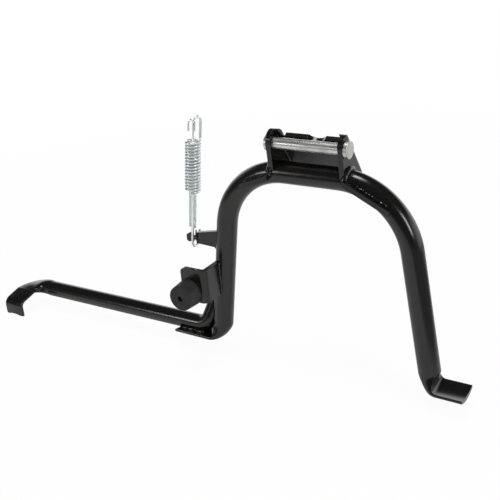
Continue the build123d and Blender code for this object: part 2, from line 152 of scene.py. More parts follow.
def colour(name, value, description):
    """A linear colour property."""
    return FloatVectorProperty(
        name=name, default=value, min=0.0, max=1.0, size=3, subtype="COLOR", description=description
    )


def share(name, value, description):
    """A number from nothing to one."""
    return FloatProperty(
        name=name, default=value, min=0.0, max=1.0, subtype="FACTOR", description=description
    )


def span(name, low, high, description):
    """The two ends of a soft step."""
    return FloatVectorProperty(name=name, default=(low, high), size=2, description=description)


class PaintSettings(bpy.types.PropertyGroup):
    """Gloss black coat on the welded frame."""

    black: colour("Paint", (0.0042, 0.0042, 0.0040), "Colour of the black coat")
    warm: colour("Thin paint", (0.0085, 0.0068, 0.0045), "Warmer tone where the coat lies thin")
    roughness: share("Roughness", 0.20, "Roughness of the coat where it is clean")
    dulling: share("Dulling", 0.05, "How much rougher the coat is where it is dull")
    peel: length("Peel", 0.012, "Height of the orange peel in the coat")
    edge: length("Edge", 0.45, "Radius that the coat gives to sharp edges")
    warm_share: share("Warm share", 0.75, "How warm the coat gets where it is thinnest")
    warm_dulling: share("Warm dulling", 0.05, "Roughness that a thin place adds")
    speck_dulling: share("Speck dulling", 0.1, "Roughness that a speck adds")
    dull_height: share("Dull height", 0.35, "Height of the dull pattern against the peel")
    speck_height: share("Speck height", 0.3, "Height of a speck against the peel")
    bead_relief: FloatProperty(name="Bead relief", default=1.5, description="Extra relief on weld beads")


class PlatingSettings(bpy.types.PropertyGroup):
    """Bright zinc on the pin, its hardware and the springs."""

    zinc: colour("Zinc", (0.66, 0.67, 0.65), "Clean plating on the pin")
    stain: colour("Stain", (0.40, 0.40, 0.36), "Dull film that mottles the plating")
    wire: colour("Wire", (0.90, 0.93, 0.93), "Bright plated spring wire")
    # Darker wire tone, laid in random patches by a noise and not placed between the coils
    patch_colour: colour("Wire mottling", (0.66, 0.68, 0.69), "Darker tone in random patches")
    roughness: share("Roughness", 0.28, "Roughness of clean plating")
    film_share: share("Film share", 0.55, "How far the film stains the plating")
    film_dulling: share("Film dulling", 0.14, "Roughness that the film adds")
    spot_dulling: share("Spot dulling", 0.12, "Swing of the roughness from spot to spot")
    spot_height: share("Spot height", 0.5, "Height of the spots against the marks")
    patch_share: share("Soot share", 0.5, "How far the grime darkens the wire")
    patch_dulling: share("Soot dulling", 0.16, "Roughness that the grime adds")
    metal: share("Metal", 0.92, "How metallic the plated pin and its hardware are")
    wire_metal: share("Wire metal", 0.86, "How metallic the spring wire is")
    marks: length("Marks", 0.02, "Depth of the fine marks in the plating")
    wire_marks: length("Wire marks", 0.015, "Depth of the drawing marks on the wire")


class RubberSettings(bpy.types.PropertyGroup):
    """Moulded rubber of the buffer."""

    rubber: colour("Rubber", (0.013, 0.013, 0.0126), "Colour of the moulded rubber")
    bloom: colour("Bloom", (0.026, 0.026, 0.025), "Paler bloom on the rubber")
    roughness: share("Roughness", 0.62, "Roughness of the rubber")
    bloom_share: share("Bloom share", 0.7, "How far the bloom covers the rubber")
    grain_dulling: share("Grain dulling", 0.2, "Swing of the roughness from grain to grain")
    shine: share("Shine", 0.35, "Strength of the rubber's reflections")
    grain: length("Grain", 0.05, "Depth of the moulded grain")


class OuterSpringSettings(bpy.types.PropertyGroup):
    """Thick spring, upright in its own frame with the anchor neck at its foot."""

    wire: length("Wire", 2.9, "Thickness of the wire")
    coil: length("Coil", 17.9, "Outer diameter of the coils")
    pitch: length("Pitch", 3.4, "Rise of one turn")
    start: length("Start", 55.0, "Height of the first turn above the neck")
    turns: IntProperty(name="Turns", default=16, min=1, description="Whole turns of the coil")
    leave: angle("Foot turn", 35.0, "Part turn at the foot of the coil")
    eye_leave: angle("Head turn", 35.0, "Part turn at the head of the coil")
    bend: length("Bend", 3.0, "Radius where the coil turns into its hook")
    hook_drop: length("Hook drop", 2.2, "Depth below the neck where the hook turns round")
    eye_radius: length("Eye radius", 5.5, "Radius of the eye at the head")
    eye_height: length("Eye height", 130.4, "Height of the eye's middle above the neck")
    eye_tail: length("Eye tail", 7.9, "Straight end of the eye")


class InnerSpringSettings(bpy.types.PropertyGroup):
    """Thin spring inside the thick one, in the same upright frame."""

    wire: length("Wire", 2.0, "Thickness of the wire")
    coil: length("Coil", 8.7, "Outer diameter of the coils")
    pitch: length("Pitch", 2.2, "Rise of one turn")
    start: length("Start", 12.8, "Height of the first turn above the neck")
    turns: IntProperty(name="Turns", default=44, min=1, description="Whole turns of the coil")
    leave: angle("Foot turn", 29.0, "Part turn at the foot of the coil")
    eye_leave: angle("Head turn", 88.0, "Part turn at the head of the coil")
    bend: length("Bend", 2.5, "Radius where the coil turns into its hook")
    hook_drop: length("Hook drop", 0.0, "Depth below the neck where the hook turns round")
    eye_radius: length("Eye radius", 4.2, "Radius of the eye at the head")
    eye_height: length("Eye height", 127.6, "Height of the eye's middle above the neck")
    eye_tail: length("Eye tail", 6.2, "Straight end of the eye")


class ArchSettings(bpy.types.PropertyGroup):
    """Bent tube of the stand: middle line, shoulders and the feet turned outwards."""

    diameter: length("Tube", 22.0, "Outer diameter of the tube")
    back: length("Back", 5.0, "Distance of the tube behind the pin")
    top: length("Top", 30.3, "Depth of the cross run below the pin")
    shoulder: length("Shoulder", 92.4, "Half width where the runs would meet")
    bend: length("Shoulder radius", 73.7, "Bending radius of the shoulders")
    splay: angle("Splay", 8.26, "Lean of each leg outwards")
    round_lead: length("Round lead", 6.0, "Length above the round end that sets its direction")
    round_end: length("Round end", 211.0, "Depth where the leg stops being round")
    heel: length("Heel", 217.5, "Depth of the first pressed section")
    heel_step: length("Heel step", 0.2, "How far the first pressed section stands outside the leg's line")
    heel_turn: angle("Heel turn", 14.0, "Lean of the first pressed section")
    heel_width: length("Heel width", 23.0, "Width of the first pressed section")
    heel_thickness: length("Heel thickness", 20.6, "Thickness of the first pressed section")
    sole: length("Sole", 227.4, "Depth of the second pressed section")
    sole_out: length("Sole out", 123.9, "Distance of the second pressed section from the middle")
    sole_turn: angle("Sole turn", 52.0, "Lean of the second pressed section")
    sole_width: length("Sole width", 30.5, "Width of the second pressed section")
    sole_thickness: length("Sole thickness", 9.0, "Thickness of the second pressed section")
    sole_hollow: length("Sole hollow", 1.7, "Depth of the gutter in the second pressed section")
    foot: length("Foot", 230.9, "Depth of the flat foot")
    foot_root: length("Foot root", 129.8, "Where the flat foot begins")
    foot_lead: length("Foot lead", 8.0, "Length of the flat foot that sets its direction")
    left_reach: length("Left reach", 177.1, "Where the left foot ends")
    right_reach: length("Right reach", 156.4, "Where the right foot ends")
    foot_width: length("Foot width", 32.0, "Width of the flat foot")
    foot_thickness: length("Foot thickness", 4.6, "Thickness of the flat foot")
    foot_hollow: length("Foot hollow", 2.9, "Depth of the gutter along the foot")


class SpringPlaceSettings(bpy.types.PropertyGroup):
    """Where both springs hang on the anchor."""

    out: length("Out", 149.0, "Distance of the springs from the middle of the stand")
    back: length("Back", 5.0, "Distance of the springs behind the pin")
    down: length("Down", 117.0, "Depth of the anchor neck below the pin")
    lean: angle("Lean", 7.4, "Lean of the springs towards the pin")
    hook_end: length("Hook end", 7.5, "Height of the hook's tip above the neck")


class WeldSettings(bpy.types.PropertyGroup):
    """Ripples and lumps of the hand-laid weld beads."""

    grain: length("Grain", 0.34, "Size of the mesh cells on a bead")
    ripple: length("Ripple", 0.55, "Height of the ripples along a bead")
    lump: length("Lumps", 0.9, "Height of the uneven lumps on a bead")
    lump_size: length("Lump size", 2.6, "Size of the uneven lumps on a bead")
    lump_middle: share("Lump middle", 0.45, "Shade of the lumps that leaves the bead where it is")
    ripple_size: length("Ripple size", 4.0, "Size of the ripples along a bead")
    ripple_middle: share("Ripple middle", 0.5, "Shade of the ripples that leaves the bead where it is")
    turbulence: FloatProperty(name="Turbulence", default=3.0, description="Unevenness of the ripples")
    softness: share("Softness", 0.5, "How far one smoothing pass evens the bead")
    passes: IntProperty(name="Passes", default=2, min=0, description="Smoothing passes over a bead")


class StudioSettings(bpy.types.PropertyGroup):
    """White paper, even light from all round and the camera of the catalogue view."""

    azimuth: angle("Azimuth", 33.845, "Turn of the camera to the right of the stand's front")
    elevation: angle("Elevation", 23.618, "Height of the camera above the level")
    roll: angle("Roll", -4.761, "Tilt of the camera about its own view")
    camera_x: FloatProperty(name="Camera X", default=0.34766, unit="LENGTH", description="Camera place")
    camera_y: FloatProperty(name="Camera Y", default=-0.627, unit="LENGTH", description="Camera place")
    camera_z: FloatProperty(name="Camera Z", default=0.21252, unit="LENGTH", description="Camera place")
    lens: FloatProperty(name="Lens", default=57.63, min=1.0, description="Focal length on a 36 mm sensor")
    floor_gap: length("Floor gap", 1.5, "Gap between the lowest point and the floor")
    floor_radius: length("Floor radius", 1600.0, "Radius of the floor disc")
    paper: share("Paper", 0.88, "Brightness of the floor paper")
    fibre: share("Fibre", 0.98, "Brightness of the paper's darker fibres against the rest")
    paper_roughness: share("Paper roughness", 0.9, "Roughness of the paper")
    paper_shine: share("Paper shine", 0.1, "Strength of the paper's reflections")
    self_lit: share("Self-lit", 0.95, "How far the near paper is plain white to the camera")
    fade_start: length("Fade start", 450.0, "Where the paper begins to fade to plain white")
    fade_end: share("Fade end", 0.9, "Where the fade ends, as a share of the floor's radius")
    ambient: share("Ambient", 0.5, "Light from all round")


class MirrorSettings(bpy.types.PropertyGroup):
    """What gloss mirrors: a white sweep behind, a dark room and two dark parts of the floor."""

    sweep: FloatProperty(name="Sweep", default=1.5, min=0.0, description="Brightness of the white sweep")
    sweep_side: span("Sweep side", -0.25, 0.35, "Y of a direction where the sweep begins and is full")
    sweep_top: span("Sweep top", 0.26, 0.46, "Z of a direction where the sweep fades and ends")
    room: share("Room", 0.07, "Brightness of the dark room in front and above")
    right: span("Right", 0.20, 0.34, "X where the dark floor on the right begins and is full")
    right_back: span("Right back", 0.34, 0.46, "Y where the dark floor on the right fades and ends")
    front: span("Front", -0.75, -0.5, "Y where the dark floor in front fades and ends")
    cover: share("Cover", 0.8, "How much of the paper the dark parts take away")
    grey: share("Grey", 0.1, "Brightness of the dark parts")


SETTINGS = (
    ("paint", PaintSettings),
    ("plating", PlatingSettings),
    ("rubber", RubberSettings),
    ("outer", OuterSpringSettings),
    ("inner", InnerSpringSettings),
    ("arch", ArchSettings),
    ("spring_place", SpringPlaceSettings),
    ("weld", WeldSettings),
    ("studio", StudioSettings),
    ("mirror", MirrorSettings),
)


# Shader maths
class Level:
    """A number that varies over a surface; sums and products of it add Math nodes."""

    def __init__(self, finish, socket):
        self.finish = finish
        self.socket = socket

    def _math(self, operation, first, second):
        node = self.finish.make("ShaderNodeMath", {"operation": operation}, {0: first, 1: second})
        return Level(self.finish, node.outputs[0])

    def __add__(self, other):
        return self._math("ADD", self, other)

    def __radd__(self, other):
        return self._math("ADD", other, self)

    def __sub__(self, other):
        return self._math("SUBTRACT", self, other)

    def __rsub__(self, other):
        return self._math("SUBTRACT", other, self)

    def __mul__(self, other):
        return self._math("MULTIPLY", self, other)

    def __rmul__(self, other):
        return self._math("MULTIPLY", other, self)

    def at_most(self, other):
        """The smaller of the two."""
        return self._math("MINIMUM", self, other)

    def at_least(self, other):
        """The larger of the two."""
        return self._math("MAXIMUM", self, other)

    def rise(self, low, high):
        """Smooth step from 0 at low to 1 at high."""
        node = self.finish.make(
            "ShaderNodeMapRange",
            {"interpolation_type": "SMOOTHSTEP"},
            {"Value": self, "From Min": low, "From Max": high},
        )
        return Level(self.finish, node.outputs["Result"])


class Finish:
    """The nodes of one material or of the world, and the patterns made of them."""

    def __init__(self, holder):
        holder.use_nodes = True
        self.holder = holder
        self.tree = holder.node_tree
        self.tree.nodes.clear()

    def make(self, kind, settings=None, values=None):
        """Add one node: its settings are set first, then its sockets are filled or linked."""
        node = self.tree.nodes.new(kind)
        for key, value in (settings or {}).items():
            setattr(node, key, value)
        for key, value in (values or {}).items():
            socket = node.inputs[key]
            if isinstance(value, Level):
                self.tree.links.new(value.socket, socket)
            elif isinstance(value, bpy.types.NodeSocket):
                self.tree.links.new(value, socket)
            elif socket.type == "RGBA" and len(value) == 3:
                socket.default_value = (*value, 1.0)
            else:
                socket.default_value = value
        return node

    def place(self, stretch=(1.0, 1.0, 1.0)):
        """Object coordinates, stretched along the axes."""
        coordinates = self.make("ShaderNodeTexCoord")
        mapping = self.make(
            "ShaderNodeMapping", None, {"Vector": coordinates.outputs["Object"], "Scale": stretch}
        )
        return mapping.outputs["Vector"]

    def noise(self, scale, detail=2.0, roughness=0.5, stretch=(1.0, 1.0, 1.0)):
        """Cloudy pattern of a scale per metre."""
        node = self.make(
            "ShaderNodeTexNoise",
            None,
            {"Vector": self.place(stretch), "Scale": scale, "Detail": detail, "Roughness": roughness},
        )
        return Level(self, node.outputs["Fac"])

    def mix(self, factor, first, second):
        """Colour between two colours."""
        node = self.make("ShaderNodeMix", {"data_type": "RGBA"}, {"Factor": factor, 6: first, 7: second})
        return node.outputs[2]

    def bump(self, height, distance, base=None):
        """Normal of a surface raised by a height between 0 and 1 times a distance."""
        values = {"Strength": 1.0, "Distance": distance, "Height": height}
        if base is not None:
            values["Normal"] = base
        return self.make("ShaderNodeBump", None, values).outputs["Normal"]

    def surface(self, values):
        """Principled surface into the output."""
        shader = self.make("ShaderNodeBsdfPrincipled", None, values)
        self.make("ShaderNodeOutputMaterial", None, {"Surface": shader.outputs["BSDF"]})
        return self.holder


def black_paint(name, settings, lumpy=0.0):
    """Gloss black coat with orange peel, dull clouds and thin warm places."""
    finish = Finish(bpy.data.materials.new(name))
    clouds = finish.noise(**PAINT_CLOUDS)
    dull = finish.noise(**PAINT_DULL)
    peel = finish.noise(**PAINT_PEEL)
    specks = finish.noise(**PAINT_SPECKS).rise(*SPECK_SPAN)
    warm = clouds.rise(*WARM_SPAN) * settings.warm_share
    roughness = settings.roughness + settings.dulling * (dull - 0.5) * 2.0
    roughness = roughness + warm * settings.warm_dulling + specks * settings.speck_dulling
    height = peel + dull * (settings.dull_height + lumpy) + specks * settings.speck_height
    soft_edge = finish.make("ShaderNodeBevel", {"samples": 4}, {"Radius": settings.edge})
    return finish.surface(
        {
            "Base Color": finish.mix(warm, tuple(settings.black), tuple(settings.warm)),
            "Roughness": roughness,
            "Normal": finish.bump(height, settings.peel, soft_edge.outputs["Normal"]),
        }
    )


def zinc_plate(name, settings, stretch=(1.0, 1.0, 1.0)):
    """Bright zinc with a mottled film and fine marks, drawn out along a stretched axis."""
    finish = Finish(bpy.data.materials.new(name))
    film = finish.noise(**ZINC_FILM).rise(*FILM_SPAN)
    spots = finish.noise(**ZINC_SPOTS)
    marks = finish.noise(**ZINC_MARKS, stretch=stretch)
    stained = film * settings.film_share
    roughness = settings.roughness + film * settings.film_dulling + (spots - 0.5) * settings.spot_dulling
    return finish.surface(
        {
            "Base Color": finish.mix(stained, tuple(settings.zinc), tuple(settings.stain)),
            "Metallic": settings.metal,
            "Roughness": roughness,
            "Normal": finish.bump(marks + spots * settings.spot_height, settings.marks),
        }
    )


def spring_wire_finish(name, settings):
    """Drawn wire: bright zinc with darker patches and drawing marks."""
    finish = Finish(bpy.data.materials.new(name))
    # Darker tone in random patches from a noise, mixed into the wire colour and its roughness
    mottling = finish.noise(**WIRE_MOTTLING).rise(*MOTTLING_SPAN)
    marks = finish.noise(**WIRE_MARKS)
    patchy = mottling * settings.patch_share
    return finish.surface(
        {
            "Base Color": finish.mix(patchy, tuple(settings.wire), tuple(settings.patch_colour)),
            "Metallic": settings.wire_metal,
            "Roughness": settings.roughness + mottling * settings.patch_dulling,
            "Normal": finish.bump(marks, settings.wire_marks),
        }
    )


def moulded_rubber(name, settings):
    """Matt rubber with a fine grain and a pale bloom."""
    finish = Finish(bpy.data.materials.new(name))
    bloom = finish.noise(**RUBBER_BLOOM).rise(*BLOOM_SPAN)
    grain = finish.noise(**RUBBER_GRAIN)
    pale = bloom * settings.bloom_share
    return finish.surface(
        {
            "Base Color": finish.mix(pale, tuple(settings.rubber), tuple(settings.bloom)),
            "Roughness": settings.roughness + (grain - 0.5) * settings.grain_dulling,
            "Specular IOR Level": settings.shine,
            "Normal": finish.bump(grain, settings.grain),
        }
    )


def coat(obj, material):
    """Give an object one material in the place of its own."""
    obj.data.materials.clear()
    obj.data.materials.append(material)


def dress(names, material):
    """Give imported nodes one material."""
    for name in names:
        coat(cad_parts[name], material)


# Shaping helpers
def only(obj):
    """Select one object and make it the active one."""
    bpy.ops.object.select_all(action="DESELECT")
    obj.select_set(True)
    bpy.context.view_layer.objects.active = obj


def apply_modifier(obj, kind, **settings):
    """Add a modifier with its settings and apply it."""
    only(obj)
    bpy.ops.object.modifier_add(type=kind)
    modifier = obj.modifiers[-1]
    for key, value in settings.items():
        setattr(modifier, key, value)
    bpy.ops.object.modifier_apply(modifier=modifier.name)


def close_mesh(obj):
    """Merge the doubles of a mesh and turn its faces outwards."""
    only(obj)
    bpy.ops.object.mode_set(mode="EDIT")
    bpy.ops.mesh.select_all(action="SELECT")
    bpy.ops.mesh.remove_doubles(threshold=DOUBLES)
    bpy.ops.mesh.normals_make_consistent(inside=False)
    bpy.ops.object.mode_set(mode="OBJECT")


def tangent_arc(start, heading, new_heading, radius, steps=10):
    """Points of an arc that turns the wire from one heading to the next."""
    inward = (new_heading - heading * new_heading.dot(heading)).normalized()
    centre = start + inward * radius
    turn = heading.angle(new_heading)
    points = []
    for step in range(1, steps + 1):
        part = turn * step / steps
        points.append(centre - inward * radius * math.cos(part) + heading * radius * math.sin(part))
    return points


def half_loop(start, across, over, steps=16):
    """Points of a half circle from a start, across by its diameter and over towards a side."""
    radius = across.length / 2
    centre = start + across / 2
    points = []
    for step in range(1, steps + 1):
        part = math.pi * step / steps
        points.append(centre - across / 2 * math.cos(part) + over * radius * math.sin(part))
    return points


def spring_line(spring, place, per_turn=28):
    """Middle line of a spring from its hook's tip to its eye's tip, in the stand's frame."""
    up = Vector((0, 0, 1))
    radius = (spring.coil - spring.wire) / 2
    spread = spring.turns + (spring.leave + spring.eye_leave) / math.tau
    steps = round(spread * per_turn)
    coil = []
    for step in range(steps + 1):
        turn = spread * step / steps
        around = turn * math.tau - spring.leave
        height = spring.start + spring.pitch * turn
        coil.append(Vector((radius * math.cos(around), radius * math.sin(around), height)))
    rise = spring.pitch / math.tau
    leave, eye_leave = spring.leave, spring.eye_leave
    first = Vector((radius * math.sin(leave), radius * math.cos(leave), rise)).normalized()
    last = Vector((-radius * math.sin(eye_leave), radius * math.cos(eye_leave), rise)).normalized()
    foot = tangent_arc(coil[0], -first, -up, spring.bend)
    shank = foot[-1]
    turn_point = Vector((shank.x, shank.y, -spring.hook_drop))
    hook = half_loop(turn_point, Vector((0, -2 * shank.y, 0)), -up)
    tip = Vector((shank.x, -shank.y, place.hook_end))
    head = tangent_arc(coil[-1], last, up, spring.bend)
    top = Vector((head[-1].x, head[-1].y, spring.eye_height))
    eye = half_loop(top, Vector((0, -2 * spring.eye_radius, 0)), up)
    tail = eye[-1] - up * spring.eye_tail
    line = [tip, *reversed(hook), turn_point, *reversed(foot), *coil, *head, top, *eye, tail]
    neck = Matrix.Translation((-place.out, place.back, -place.down))
    turn_to_place = neck @ Matrix.Rotation(place.lean, 4, "Y")
    return [turn_to_place @ point for point in line]


def wire_piece(name, points, thickness, roundness=4):
    """Round wire along a line of points, as a closed mesh."""
    bpy.ops.curve.primitive_nurbs_path_add()
    piece = bpy.context.object
    piece.name = name
    piece.data.splines.clear()
    spline = piece.data.splines.new("POLY")
    spline.points.add(len(points) - 1)
    for spot, point in zip(spline.points, points):
        spot.co = (*point, 1.0)
    piece.data.bevel_depth = thickness / 2
    piece.data.bevel_resolution = roundness
    piece.data.use_fill_caps = True
    only(piece)
    bpy.ops.object.convert(target="MESH")
    piece = bpy.context.object
    close_mesh(piece)
    bpy.ops.object.shade_smooth_by_angle(angle=WIRE_CREASE)
    return piece


def arc_points(half_chord, sagitta, steps):
    """Points of an arc but its last: the place along its chord and the height above its crown."""
    if abs(sagitta) < STRAIGHT:
        return [(half_chord * (2 * step / steps - 1), 0.0) for step in range(steps)]
    radius = (half_chord**2 + sagitta**2) / (2 * sagitta)
    half_turn = 2 * math.atan2(sagitta, half_chord)
    points = []
    for step in range(steps):
        turn = half_turn * (2 * step / steps - 1)
        points.append((radius * math.sin(turn), radius * (math.cos(turn) - 1)))
    return points


def pressed_outline(width, thickness, hollow, steps=12):
    """Outline of a tube between round and flat: four arcs, the upper and lower ones sunk to a gutter."""
    half_w, half_t = width / 2, thickness / 2
    corner_x = half_w - half_t * (1 - math.sqrt(0.5))
    corner_y = half_t * math.sqrt(0.5)
    crown = half_t - hollow
    keel = half_t + hollow
    upper = [(x, crown + y) for x, y in arc_points(corner_x, crown - corner_y, steps)]
    right = [(half_w + y, -x) for x, y in arc_points(corner_y, half_w - corner_x, steps)]
    lower = [(-x, -keel - y) for x, y in arc_points(corner_x, keel - corner_y, steps)]
    left = [(-half_w - y, x) for x, y in arc_points(corner_y, half_w - corner_x, steps)]
    return upper + right + lower + left


def smooth_stations(stations, steps):
    """Stations on a Catmull-Rom curve through the given ones, from the second to the last but one."""
    between = []
    for before, first, second, after in zip(stations, stations[1:], stations[2:], stations[3:]):
        for step in range(steps):
            t = step / steps
            between.append(
                [
                    b + 0.5 * t * (c - a + t * (2 * a - 5 * b + 4 * c - d + t * (3 * (b - c) + d - a)))
                    for a, b, c, d in zip(before, first, second, after)
                ]
            )
    between.append(stations[-2])
    return between


def half_arch_stations(arch, reach, bend_steps=28, press_steps=7):
    """Stations from the middle of the cross run to the end of a foot.

    Each holds its distance out and down, its turn, and its section's width, thickness and hollow.
    """
    size = arch.diameter
    right_angle = math.pi / 2
    tangent = arch.bend * math.tan((right_angle - arch.splay) / 2)
    bend_out = arch.shoulder - tangent
    bend_down = arch.top + arch.bend

    def leg_out(depth):
        return arch.shoulder + (depth - arch.top) * math.tan(arch.splay)

    stations = [[0.0, arch.top, right_angle, size, size, 0.0]]
    for step in range(bend_steps + 1):
        turn = right_angle + (arch.splay - right_angle) * step / bend_steps
        out = bend_out + arch.bend * math.cos(turn)
        down = bend_down - arch.bend * math.sin(turn)
        stations.append([out, down, turn, size, size, 0.0])
    above = arch.round_end - arch.round_lead
    heel_out = leg_out(arch.heel) + arch.heel_step
    heel = (arch.heel_turn, arch.heel_width, arch.heel_thickness, 0.0)
    sole = (arch.sole_turn, arch.sole_width, arch.sole_thickness, arch.sole_hollow)
    flat = (right_angle, arch.foot_width, arch.foot_thickness, arch.foot_hollow)
    pressed = [
        [leg_out(above), above, arch.splay, size, size, 0.0],
        [leg_out(arch.round_end), arch.round_end, arch.splay, size, size, 0.0],
        [heel_out, arch.heel, *heel],
        [arch.sole_out, arch.sole, *sole],
        [arch.foot_root, arch.foot, *flat],
        [arch.foot_root + arch.foot_lead, arch.foot, *flat],
    ]
    stations += smooth_stations(pressed, press_steps)
    stations.append([reach, arch.foot, *flat])
    return stations


def station_ring(station, arch, side):
    """Ring of points round the tube at a station, on the left or the right."""
    out, down, turn, width, thickness, hollow = station
    ring = []
    for along, up in pressed_outline(width, thickness, hollow):
        sideways = side * (out + up * math.cos(turn))
        ring.append(Vector((sideways, arch.back + along, -down + up * math.sin(turn))))
    return ring


def grow_ring(piece, ring, target):
    """Extrude the selected rim of a piece and lay the new rim on its target ring."""
    bpy.ops.mesh.extrude_edges_move()
    shape = bmesh.from_edit_mesh(piece.data)
    for corner in shape.verts:
        if corner.select:
            spot = min(range(len(ring)), key=lambda index: (ring[index] - corner.co).length_squared)
            corner.co = target[spot]
    bmesh.update_edit_mesh(piece.data)


def arch_piece(arch):
    """Bent tube grown from foot to foot, ring by ring."""
    left = [station_ring(s, arch, -1) for s in half_arch_stations(arch, arch.left_reach)]
    right = [station_ring(s, arch, 1) for s in half_arch_stations(arch, arch.right_reach)]
    rings = left[::-1] + right[1:]
    bpy.ops.object.select_all(action="DESELECT")
    bpy.ops.mesh.primitive_circle_add(vertices=len(rings[0]), radius=arch.diameter / 2)
    piece = bpy.context.object
    piece.name = "arch_tube_skin"
    for corner, spot in zip(piece.data.vertices, rings[0]):
        corner.co = spot
    bpy.ops.object.mode_set(mode="EDIT")
    bpy.ops.mesh.select_all(action="SELECT")
    bpy.ops.mesh.edge_face_add()
    bpy.ops.mesh.select_all(action="SELECT")
    for ring, target in zip(rings, rings[1:]):
        grow_ring(piece, ring, target)
    bpy.ops.mesh.edge_face_add()
    bpy.ops.mesh.select_all(action="SELECT")
    bpy.ops.mesh.normals_make_consistent(inside=False)
    bpy.ops.object.mode_set(mode="OBJECT")
    only(piece)
    bpy.ops.object.shade_smooth_by_angle(angle=ARCH_CREASE)
    return piece


def weld_bead(node_name, weld):
    """Rippled bead in the place of a plain one, from a merged copy of its mesh."""
    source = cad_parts[node_name]
    bead = bpy.data.objects.new(node_name.replace("welds", "bead"), source.data.copy())
    bpy.context.scene.collection.objects.link(bead)
    close_mesh(bead)
    apply_modifier(bead, "REMESH", mode="VOXEL", voxel_size=weld.grain)
    bands = bpy.data.textures.new(f"{bead.name}_ripple", "WOOD")
    bands.wood_type = "BANDNOISE"
    bands.noise_scale = weld.ripple_size
    bands.turbulence = weld.turbulence
    lumps = bpy.data.textures.new(f"{bead.name}_lumps", "CLOUDS")
    lumps.noise_scale = weld.lump_size
    reliefs = ((lumps, weld.lump, weld.lump_middle), (bands, weld.ripple, weld.ripple_middle))
    for texture, height, middle in reliefs:
        apply_modifier(
            bead, "DISPLACE", texture=texture, texture_coords="LOCAL", strength=height, mid_level=middle
        )
    apply_modifier(bead, "SMOOTH", factor=weld.softness, iterations=weld.passes)
    only(bead)
    bpy.ops.object.shade_smooth()
    return bead


# Operators
class STAND_OT_paint_frame(bpy.types.Operator):
    """Paint the brackets, straps, anchor and arm"""

    bl_idname = "stand.paint_frame"
    bl_label = "Paint the frame"

    def execute(self, context):
        dress(PAINTED, black_paint("gloss_black", context.scene.stand_paint))
        return {"FINISHED"}


class STAND_OT_bend_arch(bpy.types.Operator):
    """Bend the arch tube and press its ends into feet that turn outwards"""

    bl_idname = "stand.bend_arch"
    bl_label = "Bend the arch"

    def execute(self, context):
        piece = arch_piece(context.scene.stand_arch)
        coat(piece, bpy.data.materials["gloss_black"])
        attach(piece, "stand")
        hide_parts("arch_tube")
        return {"FINISHED"}


class STAND_OT_lay_welds(bpy.types.Operator):
    """Lay rippled weld beads in the place of the plain ones"""

    bl_idname = "stand.lay_welds"
    bl_label = "Lay the welds"

    def execute(self, context):
        settings = context.scene.stand_paint
        paint = black_paint("gloss_black_weld", settings, lumpy=settings.bead_relief)
        for name in WELDS:
            bead = weld_bead(name, context.scene.stand_weld)
            coat(bead, paint)
            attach(bead, "stand")
            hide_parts(name)
        return {"FINISHED"}


class STAND_OT_plate_pin(bpy.types.Operator):
    """Plate the pivot pin, its washer and its clip"""

    bl_idname = "stand.plate_pin"
    bl_label = "Plate the pin"

    def execute(self, context):
        plating = context.scene.stand_plating
        dress(("pivot_pin",), zinc_plate("mottled_zinc", plating, ALONG_PIN))
        dress(("pin_washer", "pin_clip"), zinc_plate("hardware_zinc", plating))
        return {"FINISHED"}


class STAND_OT_wind_springs(bpy.types.Operator):
    """Wind both return springs in round wire"""

    bl_idname = "stand.wind_springs"
    bl_label = "Wind the springs"

    def execute(self, context):
        scene = context.scene
        wire = spring_wire_finish("drawn_wire", scene.stand_plating)
        for name, spring in (("outer_spring", scene.stand_outer), ("inner_spring", scene.stand_inner)):
            line = spring_line(spring, scene.stand_spring_place)
            piece = wire_piece(f"{name}_wire", line, spring.wire)
            coat(piece, wire)
            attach(piece, "return_springs")
            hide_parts(name)
        return {"FINISHED"}


class STAND_OT_dress_buffer(bpy.types.Operator):
    """Finish the rubber buffer and its stud, washer and nut"""

    bl_idname = "stand.dress_buffer"
    bl_label = "Dress the buffer"

    def execute(self, context):
        dress(("rubber_buffer",), moulded_rubber("buffer_rubber", context.scene.stand_rubber))
        plating = context.scene.stand_plating
        dress(("buffer_stud", "buffer_washer", "buffer_nut"), zinc_plate("fastener_zinc", plating))
        return {"FINISHED"}


class STAND_OT_set_studio(bpy.types.Operator):
    """Lay the floor paper, light the room, hang the lamps and set the camera"""

    bl_idname = "stand.set_studio"
    bl_label = "Set the studio"

    def execute(self, context):
        studio = context.scene.stand_studio
        mirror = context.scene.stand_mirror
        lay_floor(studio, mirror)
        light_world(studio, mirror)
        hang_lamps()
        set_camera(studio)
        context.scene.view_settings.view_transform = "Standard"
        return {"FINISHED"}


